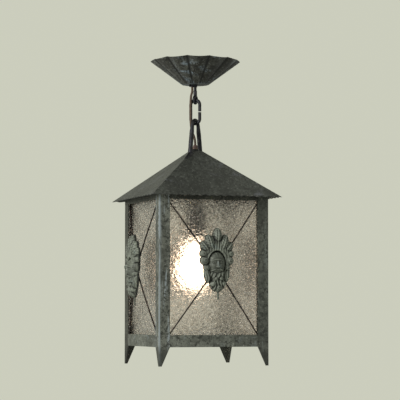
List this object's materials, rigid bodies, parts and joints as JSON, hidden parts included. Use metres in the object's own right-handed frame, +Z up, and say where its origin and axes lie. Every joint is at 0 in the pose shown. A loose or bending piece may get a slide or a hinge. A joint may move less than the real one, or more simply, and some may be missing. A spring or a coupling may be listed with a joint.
{
  "type": "porch ceiling lantern",
  "caption": "Square glazed porch lantern with a pyramid roof, crossed rods and cast masks, hung by an open chain link from a fluted ceiling cup.",
  "frame": {"origin": "on the ceiling plane, midway between the two ceiling screws", "axes": "+Z up through the eye rod, -Y out of the front face, +X to the right along the front face"},
  "size_m": [0.2582, 0.2582, 0.5415],
  "materials": {
    "patina_frame": "matt grey-green patina with darker and bluish streaks",
    "patina_roof": "matt mottled grey-green patina",
    "patina_cup": "matt dark grey-green patina with bluish patches",
    "mask_bronze": "cast bronze with verdigris, worn lighter on the crests",
    "black_iron": "blackened wrought iron, satin",
    "hammered_glass": "clear cathedral glass with a hammered face",
    "cable_fabric": "brown braided cotton",
    "brown_plastic": "matt brown",
    "lead_plastic": "matt sheathing",
    "white_plastic": "matt off-white",
    "zinc_steel": "zinc plated, dull",
    "brass": "aged brass",
    "bakelite": "moulded, half gloss",
    "porcelain": "unglazed porcelain",
    "bulb_cap_metal": "rolled screw cap",
    "bulb_glow": "opal glass, lit warm white"
  },
  "bodies": {
    "ceiling": {"ceiling_bracket": "zinc_steel", "rod_nuts": "zinc_steel", "eye_rod": "black_iron", "terminal_block": "white_plastic", "cable_upper": "cable_fabric"},
    "cup": {"ceiling_cup": "patina_cup", "cup_clamp": "black_iron", "clamp_screw": "black_iron"},
    "link": {"chain_link": "black_iron"},
    "lantern": {"cable_lower": "cable_fabric", "bail": "black_iron", "roof_shell": "patina_roof", "stem_tube": "brass", "stem_nuts": "brass", "cable_bush": "brown_plastic", "stem_leads": "lead_plastic", "holder_cap": "bakelite", "holder_skirt": "bakelite", "holder_insert": "porcelain", "thread_shell": "brass", "centre_contact": "brass", "bulb_cap": "bulb_cap_metal", "bulb_glass": "bulb_glow", "mask_nuts": "brass", "post_front_left": "patina_frame", "bead_front_left": "patina_frame", "post_front_right": "patina_frame", "bead_front_right": "patina_frame", "post_rear_right": "patina_frame", "bead_rear_right": "patina_frame", "post_rear_left": "patina_frame", "bead_rear_left": "patina_frame", "lower_rail_front": "patina_frame", "upper_rail_front": "patina_frame", "glass_front": "hammered_glass", "crossed_rods_front": "black_iron", "mask_front": "mask_bronze", "lower_rail_right": "patina_frame", "upper_rail_right": "patina_frame", "glass_right": "hammered_glass", "crossed_rods_right": "black_iron", "mask_right": "mask_bronze", "lower_rail_rear": "patina_frame", "upper_rail_rear": "patina_frame", "glass_rear": "hammered_glass", "crossed_rods_rear": "black_iron", "mask_rear": "mask_bronze", "lower_rail_left": "patina_frame", "upper_rail_left": "patina_frame", "glass_left": "hammered_glass", "crossed_rods_left": "black_iron", "mask_left": "mask_bronze"}
  },
  "joints": [
    {"name": "cup_slide", "type": "slide", "parent": "ceiling", "child": "cup", "axis": [0, 0, -1], "range_m": [0, 0.005]},
    {"name": "link_swing", "type": "hinge", "parent": "ceiling", "child": "link", "pos_m": [0, 0, -0.0764], "axis": [0.7071, 0.7071, 0], "range_deg": [-35, 35], "deforming": ["cable_upper"]},
    {"name": "lantern_swing", "type": "hinge", "parent": "link", "child": "lantern", "pos_m": [0, 0, -0.1134], "axis": [0.7071, -0.7071, 0], "range_deg": [-35, 35], "deforming": ["cable_lower"]}
  ]
}
